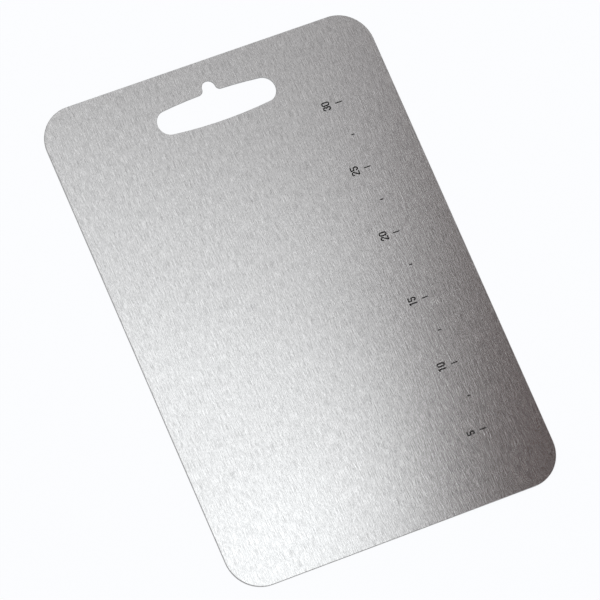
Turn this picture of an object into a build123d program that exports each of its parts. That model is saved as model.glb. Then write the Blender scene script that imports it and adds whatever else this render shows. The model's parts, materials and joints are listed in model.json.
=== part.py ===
from build123d import *
import os
from math import acos, atan2, degrees, hypot, sqrt

# A kitchen cutting board cut from one plate of stainless steel: rounded corners, a finger slot with bowed
# long sides, a notch in the slot for a wall hook, and a centimetre scale printed beside the right edge.
# The board lies flat on the floor plane, printed face up. X runs across it, Y along it towards the slot.
# The origin is the middle of the underside. All lengths are millimetres.

# Steel sheet
board_width = 250.0
board_length = 360.0
sheet_thickness = 2.0
corner_radius = 25.0
edge_round = 0.3

# Finger slot: round ends joined by two long sides that bow outwards by this much above the ends
slot_length = 90.0
slot_end_radius = 9.0
slot_bow = 2.0
slot_from_top_edge = 34.0

# Hanging notch in the middle of the slot's upper side, with rounded shoulders where it opens into the slot
notch_radius = 5.0
notch_depth = 8.0
notch_shoulder_radius = 3.5

# Printed scale: its zero is the board's lower edge, and one numbered tick stands at every step
ink_thickness = 0.05
scale_step = 50.0
scale_numbers = [5, 10, 15, 20, 25, 30]
tick_from_right_edge = 42.7
tick_width = 0.75
long_tick_length = 5.0
short_tick_length = 2.5

# Numerals: narrow figures of one stroke width, read with the board turned a quarter clockwise
numeral_from_right_edge = 52.3
digit_height = 6.0
digit_width = 3.1
digit_gap = 0.3
digit_stroke = 0.92
terminal_length = 0.3
one_stem_offset = 0.3
one_flag_length = 1.1
one_flag_angle = 26
three_waist_drop = 2.25
five_stem_length = 3.0
five_bowl_drop = 2.1

# Places that follow from the sizes above
half_width = board_width / 2
half_length = board_length / 2
slot_middle_y = half_length - slot_from_top_edge
tick_x = half_width - tick_from_right_edge
numeral_x = half_width - numeral_from_right_edge


def step_along(start, end, distance):
    """The point at a distance from start on the straight line towards end."""
    return start + (end - start).normalized() * distance


# The slot's outline, on a plane whose origin is the middle of the slot. Each bowed side is an arc that is
# tangent to both end circles, so its radius follows from the slot's length, height and end radius. Each
# shoulder is an arc that touches the bowed side and the notch's circle from outside, so its centre is where
# two circles about the bow's and the notch's centres cross. The left half is the right half mirrored.
slot_top = slot_end_radius + slot_bow
notch_rise = slot_top + notch_depth - notch_radius
end_x = slot_length / 2 - slot_end_radius
bow_radius = (end_x**2 + slot_top**2 - slot_end_radius**2) / (2 * slot_bow)
upper_bow_centre = Vector(0, slot_top - bow_radius)
lower_bow_centre = Vector(0, bow_radius - slot_top)
end_centre = Vector(end_x, 0)
notch_centre = Vector(0, notch_rise)

shoulder_to_bow = bow_radius + notch_shoulder_radius
shoulder_to_notch = notch_radius + notch_shoulder_radius
bow_to_notch = notch_rise - upper_bow_centre.Y
shoulder_rise = (bow_to_notch**2 + shoulder_to_bow**2 - shoulder_to_notch**2) / (2 * bow_to_notch)
shoulder_x = sqrt(shoulder_to_bow**2 - shoulder_rise**2)
shoulder_centre = Vector(shoulder_x, upper_bow_centre.Y + shoulder_rise)

with BuildSketch(Plane((0, slot_middle_y, 0))) as slot_opening:
    with BuildLine():
        lower_side = TangentArc(
            (0, -slot_top),
            step_along(lower_bow_centre, end_centre, bow_radius),
            tangent=(1, 0),
        )
        round_end = TangentArc(
            lower_side @ 1,
            step_along(upper_bow_centre, end_centre, bow_radius),
            tangent=lower_side % 1,
        )
        upper_side = TangentArc(
            round_end @ 1,
            step_along(upper_bow_centre, shoulder_centre, bow_radius),
            tangent=round_end % 1,
        )
        shoulder = TangentArc(
            upper_side @ 1,
            step_along(notch_centre, shoulder_centre, notch_radius),
            tangent=upper_side % 1,
        )
        TangentArc(
            shoulder @ 1,
            (0, slot_top + notch_depth),
            tangent=shoulder % 1,
        )
        mirror(about=Plane.YZ)
    make_face()

# Steel sheet: the plate with the slot cut through it, and every edge of both faces rounded by deburring
with BuildPart() as steel_sheet:
    with BuildSketch():
        RectangleRounded(board_width, board_length, corner_radius)
        add(slot_opening.sketch, mode=Mode.SUBTRACT)
    extrude(amount=sheet_thickness)
    fillet(steel_sheet.faces().filter_by(Axis.Z).edges(), radius=edge_round)
steel_sheet.part.label = "steel_sheet"

# Ticks: bars of ink on the upper face, long ones at the numbers and short ones half way between them
number_count = len(scale_numbers)
scale_middle_y = scale_step * (number_count + 1) / 2 - half_length

with BuildPart() as long_ticks:
    with BuildSketch(Plane((tick_x, scale_middle_y, sheet_thickness))):
        with GridLocations(0, scale_step, 1, number_count):
            Rectangle(long_tick_length, tick_width)
    extrude(amount=ink_thickness)
long_ticks.part.label = "long_ticks"

with BuildPart() as short_ticks:
    with BuildSketch(Plane((tick_x, scale_middle_y, sheet_thickness))):
        with GridLocations(0, scale_step, 1, number_count - 1):
            Rectangle(short_tick_length, tick_width)
    extrude(amount=ink_thickness)
short_ticks.part.label = "short_ticks"

# Figures: each is drawn about its own middle with a pen of one width. The pen's line runs half a stroke
# inside the figure's box, and its round parts reach both sides of the box.
pen_x = (digit_width - digit_stroke) / 2
pen_y = (digit_height - digit_stroke) / 2
hole_width = digit_width - 2 * digit_stroke
hole_height = digit_height - 2 * digit_stroke

# Nought: a ring with straight sides
with BuildSketch() as figure_0:
    SlotOverall(digit_height, digit_width, rotation=90)
    SlotOverall(hole_height, hole_width, rotation=90, mode=Mode.SUBTRACT)

# One: a stem, and a sloping flag that starts at its upper left corner
with BuildSketch() as figure_1:
    with Locations((one_stem_offset, 0)):
        Rectangle(digit_stroke, digit_height)
    with Locations((one_stem_offset - digit_stroke / 2, digit_height / 2)):
        Rectangle(one_flag_length, digit_stroke, rotation=one_flag_angle, align=(Align.MAX, Align.MAX))

# Two: a hook that turns into a straight diagonal where the line to the foot's left end touches its round,
# and a foot along the bottom, into which the diagonal runs on
hook_y = pen_y - pen_x
foot_drop = hook_y + pen_y - digit_stroke / 2
diagonal_turn = degrees(atan2(-foot_drop, -pen_x) + acos(pen_x / hypot(pen_x, foot_drop)))

with BuildSketch() as figure_2:
    with BuildLine():
        Line((-pen_x, hook_y - terminal_length), (-pen_x, hook_y))
        hook = CenterArc((0, hook_y), pen_x, 180, diagonal_turn - 180)
        Line(hook @ 1, Vector(-pen_x, hook_y - foot_drop) + hook % 1 * digit_stroke)
    trace(line_width=digit_stroke)
    with Locations((0, -pen_y)):
        Rectangle(digit_width, digit_stroke)
    Rectangle(digit_width, digit_height, mode=Mode.INTERSECT)

# Three: two oval rings that share a waist, opened on the left between their terminals
upper_half = three_waist_drop / 2
lower_half = pen_y - upper_half
upper_y = pen_y - upper_half
lower_y = lower_half - pen_y

with BuildSketch() as figure_3:
    with Locations((0, upper_y)):
        Ellipse(digit_width / 2, upper_half + digit_stroke / 2)
    with Locations((0, lower_y)):
        Ellipse(digit_width / 2, lower_half + digit_stroke / 2)
    with Locations((0, upper_y)):
        Ellipse(hole_width / 2, upper_half - digit_stroke / 2, mode=Mode.SUBTRACT)
    with Locations((0, lower_y)):
        Ellipse(hole_width / 2, lower_half - digit_stroke / 2, mode=Mode.SUBTRACT)
    with Locations((0, lower_y + terminal_length)):
        Rectangle(
            digit_width / 2,
            upper_y - lower_y - 2 * terminal_length,
            align=(Align.MAX, Align.MIN),
            mode=Mode.SUBTRACT,
        )

# Five: an oval ring opened on the left between its middle and the stem's foot, a stem and a flag
bowl_half = pen_y - five_bowl_drop / 2
bowl_y = bowl_half - pen_y
stem_foot_y = digit_height / 2 - five_stem_length

with BuildSketch() as figure_5:
    with Locations((0, bowl_y)):
        Ellipse(digit_width / 2, bowl_half + digit_stroke / 2)
        Ellipse(hole_width / 2, bowl_half - digit_stroke / 2, mode=Mode.SUBTRACT)
        Rectangle(
            digit_width / 2,
            stem_foot_y - bowl_y,
            align=(Align.MAX, Align.MIN),
            mode=Mode.SUBTRACT,
        )
    with Locations((-digit_width / 2, digit_height / 2)):
        Rectangle(digit_stroke, five_stem_length, align=(Align.MIN, Align.MAX))
        Rectangle(digit_width, digit_stroke, align=(Align.MIN, Align.MAX))

figures = {"0": figure_0, "1": figure_1, "2": figure_2, "3": figure_3, "5": figure_5}

os.makedirs("parts", exist_ok=True)
export_step(steel_sheet.part, "parts/steel_sheet.step")
export_step(long_ticks.part, "parts/long_ticks.step")
export_step(short_ticks.part, "parts/short_ticks.step")

# Numerals: the figures in equal cells, centred on their tick, with their tops towards the left edge
cell_width = digit_width + digit_gap

for position, number in enumerate(scale_numbers, start=1):
    text = str(number)
    tick_y = scale_step * position - half_length
    reading_plane = Plane((numeral_x, tick_y, sheet_thickness), x_dir=(0, 1, 0), z_dir=(0, 0, 1))
    with BuildPart() as numeral:
        with BuildSketch(reading_plane):
            for cell, figure in enumerate(text):
                with Locations(((cell - (len(text) - 1) / 2) * cell_width, 0)):
                    add(figures[figure].sketch)
        extrude(amount=ink_thickness)
    numeral.part.label = f"numeral_{number}"
    export_step(numeral.part, f"parts/numeral_{number}.step")
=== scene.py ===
import json
from math import cos, pi, radians, sin

import bpy
import numpy as np
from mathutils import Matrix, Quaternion, Vector

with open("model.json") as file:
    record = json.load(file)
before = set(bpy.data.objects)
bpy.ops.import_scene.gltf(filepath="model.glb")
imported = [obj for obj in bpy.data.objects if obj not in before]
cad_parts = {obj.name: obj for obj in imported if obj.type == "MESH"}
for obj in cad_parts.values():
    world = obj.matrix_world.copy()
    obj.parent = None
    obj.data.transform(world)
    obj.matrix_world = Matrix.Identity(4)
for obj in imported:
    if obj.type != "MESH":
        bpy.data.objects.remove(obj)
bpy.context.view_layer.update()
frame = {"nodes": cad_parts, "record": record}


# Steel sheet: one plate of stainless steel, ground with a belt along its length on both faces, then cut out.
# The belt leaves short hairlines that differ in brightness and depth. The cut walls and the rounded rims that
# lead to them are tumbled, which leaves them duller than the faces; their darker colour is painted shade.

class Socket:
    """An output of one of a material's nodes. Arithmetic on it adds Math nodes to the same tree."""

    def __init__(self, tree, output=None):
        self.tree = tree
        self.output = output

    def fill(self, node, inputs):
        """Gives each named input of a node a value or a link."""
        for name, value in inputs.items():
            if isinstance(value, Socket):
                self.tree.links.new(value.output, node.inputs[name])
            else:
                node.inputs[name].default_value = value

    def node(self, kind, settings, inputs, output=0):
        """One output of a new node, whose settings are set before its inputs are filled."""
        made = self.tree.nodes.new("ShaderNode" + kind)
        for name, value in settings.items():
            setattr(made, name, value)
        self.fill(made, inputs)
        return Socket(self.tree, made.outputs[output])

    def math(self, operation, *operands):
        return self.node("Math", {"operation": operation}, dict(enumerate(operands)))

    def __abs__(self):
        return self.math("ABSOLUTE", self)

    def __add__(self, other):
        return self.math("ADD", self, other)

    def __sub__(self, other):
        return self.math("SUBTRACT", self, other)

    def __rsub__(self, other):
        return self.math("SUBTRACT", other, self)

    def __mul__(self, other):
        return self.math("MULTIPLY", self, other)

    __radd__ = __add__
    __rmul__ = __mul__


def new_finish(name):
    """A material with one principled surface, and a start for the nodes that feed it."""
    material = bpy.data.materials.new(name)
    material.use_nodes = True
    start = Socket(material.node_tree)
    return material, start, material.node_tree.nodes["Principled BSDF"]


def hairlines(start, size, detail):
    """Noise on the object's own coordinates, stretched along Y into marks of that width and length."""
    width, length = size
    place = start.node("TexCoord", {}, {}, "Object")
    stretched = start.node("Mapping", {}, {"Vector": place, "Scale": (1 / width, 1 / length, 1 / width)})
    return start.node("TexNoise", {}, {"Vector": stretched, "Scale": 1.0, "Detail": detail})


def colour_mix(start, share, first, second):
    """The colour that lies that share of the way from the first colour to the second."""
    first_input, second_input, colour_output = 6, 7, 2
    colours = {"Factor": share, first_input: first, second_input: second}
    return start.node("Mix", {"data_type": "RGBA"}, colours, colour_output)


light_steel = (0.90, 0.90, 0.90, 1)
dark_steel = (0.335, 0.335, 0.335, 1)
# painted shade: the steep walls and rims get this darker colour in place of the face's steel colour
painted_wall_shade = (0.36, 0.36, 0.36, 1)
fine_mark_size = (0.0003, 0.0015)
broad_mark_size = (0.0004, 0.008)
furrow_size = (0.0006, 0.006)
patch_size = (0.012, 0.035)
fine_mark_share = 0.5
darkest_mark = 0.3
lightest_mark = 0.7
rim_slope = 0.02
wall_slope = 0.3
face_roughness = 0.192
mark_dullness = 0.02
patch_dullness = 0.012
wall_dullness = 0.2
furrow_strength = 0.1
furrow_depth = 0.0002

brushed_steel, start, surface = new_finish("brushed_steel")
fine_marks = hairlines(start, fine_mark_size, detail=2)
broad_marks = hairlines(start, broad_mark_size, detail=2)
furrows = hairlines(start, furrow_size, detail=1)
patches = hairlines(start, patch_size, detail=1)
marks = fine_marks * fine_mark_share + broad_marks * (1 - fine_mark_share)
contrast = start.node("MapRange", {}, {"Value": marks, "From Min": darkest_mark, "From Max": lightest_mark})
normal = start.node("TexCoord", {}, {}, "Normal")
slope = 1 - abs(start.node("SeparateXYZ", {}, {"Vector": normal}, "Z"))
wall = start.node("MapRange", {}, {"Value": slope, "From Min": rim_slope, "From Max": wall_slope})
dullness = mark_dullness * contrast + patch_dullness * patches + wall_dullness * wall
relief = {"Height": furrows, "Strength": furrow_strength, "Distance": furrow_depth}
face_colour = colour_mix(start, contrast, dark_steel, light_steel)
start.fill(surface, {
    # Steep walls and rims take the darker colour here, as painted shade.
    "Base Color": colour_mix(start, wall, face_colour, painted_wall_shade),
    "Metallic": 1.0,
    "Roughness": face_roughness + dullness,
    "Normal": start.node("Bump", {}, relief),
})

sheet = frame["nodes"]["steel_sheet"]
sheet.data.materials.clear()
sheet.data.materials.append(brushed_steel)


# Printed scale: ticks and numerals in black ink, screened onto the ground face and baked hard.
# The film is matt and very thin, so the hairlines under it show through a little in its shade and relief.

ink_black = (0.006, 0.006, 0.006, 1)
ink_grey = (0.016, 0.016, 0.016, 1)
streak_size = (0.0004, 0.002)
ink_roughness = 0.55
streak_dullness = 0.2
ink_gloss = 0.15
streak_strength = 0.1
streak_depth = 0.0001

baked_ink, start, surface = new_finish("baked_ink")
streaks = hairlines(start, streak_size, detail=2)
relief = {"Height": streaks, "Strength": streak_strength, "Distance": streak_depth}
start.fill(surface, {
    "Base Color": colour_mix(start, streaks, ink_black, ink_grey),
    "Roughness": ink_roughness + streak_dullness * streaks,
    "Specular IOR Level": ink_gloss,
    "Normal": start.node("Bump", {}, relief),
})

for subpart in frame["record"]["subparts"]:
    if subpart["material_slot"] == "scale_ink":
        film = frame["nodes"][subpart["node"]]
        film.data.materials.clear()
        film.data.materials.append(baked_ink)


# Floor: a wide pale table top of painted board, on which the sheet lies loose. It glows white for the eye and
# for whatever mirrors it, and a small share of the plain paint keeps the sheet's faint shadow.

floor_half = 15.0
floor_white = (0.974, 0.982, 1.0, 1)
floor_roughness = 0.9
floor_glow = 1.013
shadow_share = 0.04

floor_paint, start, surface = new_finish("floor_paint")
start.fill(surface, {"Base Color": floor_white, "Roughness": floor_roughness})
sight = [start.node("LightPath", {}, {}, f"Is {ray} Ray") for ray in ("Camera", "Glossy", "Transmission")]
seen = sum(sight[1:], sight[0])
glow = start.node("Emission", {}, {"Color": floor_white, "Strength": floor_glow})
painted = Socket(start.tree, surface.outputs[0])
glow_share = seen * (1 - shadow_share)
shown = start.node("MixShader", {}, {0: glow_share, 1: painted, 2: glow})
start.fill(start.tree.nodes["Material Output"], {"Surface": shown})

floor_mesh = bpy.data.meshes.new("floor")
corners = [(x * floor_half, y * floor_half, 0) for x, y in ((-1, -1), (1, -1), (1, 1), (-1, 1))]
floor_mesh.from_pydata(corners, [], [(0, 1, 2, 3)])
floor_mesh.materials.append(floor_paint)
floor = bpy.data.objects.new("floor", floor_mesh)
bpy.context.scene.collection.objects.link(floor)


# Studio light: four softboxes hang level over the sheet, the key one high above it. A dark warm card leans
# behind them, where the eye at the camera sees it mirrored in the face, and pale walls stand all round.

softbox_white = (0.96, 1.0, 1.012)


def hang_softbox(name, place, turn, width, length, radiance):
    """A level rectangular lamp whose light per area and angle is the given radiance."""
    lamp = bpy.data.lights.new(name, "AREA")
    lamp.shape = "RECTANGLE"
    lamp.size = width
    lamp.size_y = length
    lamp.energy = radiance * pi * width * length
    lamp.color = softbox_white
    softbox = bpy.data.objects.new(name, lamp)
    softbox.location = place
    softbox.rotation_euler.z = radians(turn)
    softbox.visible_camera = False
    bpy.context.scene.collection.objects.link(softbox)


hang_softbox("key_softbox", (0.13, 0.165, 1.15), turn=-26, width=0.57, length=0.60, radiance=1.19)
hang_softbox("low_softbox", (-0.215, 0.07, 0.50), turn=-24, width=0.88, length=0.305, radiance=0.26)
hang_softbox("far_softbox", (0.49, 1.065, 0.88), turn=-21, width=0.47, length=1.535, radiance=0.55)
hang_softbox("near_softbox", (0.14, -0.09, 0.61), turn=6, width=0.19, length=0.18, radiance=0.44)

dim_wall = (0.5, 0.5, 0.5, 1)
bright_wall = (1.0, 1.0, 1.0, 1)
dark_card = (0.061, 0.0275, 0.024, 1)
card_direction = (0.316, 0.2006, 0.9275)
card_edge = 0.62
card_middle = 0.86

studio = bpy.data.worlds.new("studio")
studio.use_nodes = True
bpy.context.scene.world = studio
start = Socket(studio.node_tree)
direction = start.node("TexCoord", {}, {}, "Generated")
across, along = [start.node("SeparateXYZ", {}, {"Vector": direction}, axis) for axis in "XY"]
wall_light = colour_mix(start, 0.5 - across * along, dim_wall, bright_wall)
nearness = start.node("VectorMath", {"operation": "DOT_PRODUCT"}, {0: direction, 1: card_direction}, "Value")
card = start.node("MapRange", {"interpolation_type": "SMOOTHSTEP"}, {
    "Value": nearness,
    "From Min": card_edge,
    "From Max": card_middle,
})
surround = colour_mix(start, card, wall_light, dark_card)
start.fill(studio.node_tree.nodes["Background"], {"Color": surround, "Strength": 1.0})


# Curtain: a round cloth that hangs from a rail all round the set, pale and lit from inside. Its soft upright
# folds
# are painted shade and light: bands of darker and brighter glow round a smooth cylinder. It gives the steel
# light and shade to mirror when it is seen from low down. Only mirrors see it.

curtain_radius = 1.2
curtain_height = 1.15
curtain_sides = 96
curtain_folds = 8
fold_start = pi / 2
fold_shade = (0.35, 0.35, 0.35, 1)
fold_light = (1.05, 1.05, 1.05, 1)

curtain_cloth, start, _ = new_finish("curtain_cloth")
curtain_cloth.cycles.emission_sampling = "NONE"
place = start.node("TexCoord", {}, {}, "Object")
east, north = [start.node("SeparateXYZ", {}, {"Vector": place}, axis) for axis in "XY"]
bearing = start.math("ARCTAN2", north, east)
# painted fold shade and light: the glow is darker and brighter in bands round the cylinder, which has no
# folds
fold = 0.5 + 0.5 * start.math("COSINE", bearing * curtain_folds + fold_start)
fold_colour = colour_mix(start, fold, fold_shade, fold_light)
glow = start.node("Emission", {}, {"Color": fold_colour, "Strength": 1.0})
start.fill(start.tree.nodes["Material Output"], {"Surface": glow})

bearings = np.linspace(0, 2 * pi, curtain_sides, endpoint=False)
foot = np.stack([np.cos(bearings), np.sin(bearings), np.zeros(curtain_sides)], 1) * curtain_radius
head = foot + (0, 0, curtain_height)
side = np.arange(curtain_sides)
next_side = (side + 1) % curtain_sides
panels = np.stack([side, next_side, next_side + curtain_sides, side + curtain_sides], 1)
curtain_mesh = bpy.data.meshes.new("curtain")
curtain_mesh.from_pydata(np.concatenate([foot, head]).tolist(), [], panels.tolist())
curtain_mesh.materials.append(curtain_cloth)
curtain = bpy.data.objects.new("curtain", curtain_mesh)
curtain.visible_camera = False
curtain.visible_diffuse = False
curtain.visible_shadow = False
bpy.context.scene.collection.objects.link(curtain)


# Camera: a long lens on a high stand, far back from the sheet's lower left corner and aimed at its middle.
# It is rolled so that the slot is at the upper left of the picture.

camera_aim = Vector((-0.00151, -0.00224, 0.002))
camera_distance = 4.5323
camera_azimuth = -147.653
camera_elevation = 68.030
camera_roll = 35.857
camera_lens = 398.4
camera_sensor = 36

camera_data = bpy.data.cameras.new("camera")
camera_data.sensor_width = camera_sensor
camera_data.lens = camera_lens
camera = bpy.data.objects.new("camera", camera_data)
azimuth, elevation = radians(camera_azimuth), radians(camera_elevation)
back = Vector((cos(elevation) * cos(azimuth), cos(elevation) * sin(azimuth), sin(elevation)))
camera.location = camera_aim + camera_distance * back
camera.rotation_mode = "QUATERNION"
camera.rotation_quaternion = back.to_track_quat("Z", "Y") @ Quaternion((0, 0, 1), radians(camera_roll))
bpy.context.scene.collection.objects.link(camera)
bpy.context.scene.camera = camera
bpy.context.scene.view_settings.view_transform = "Standard"
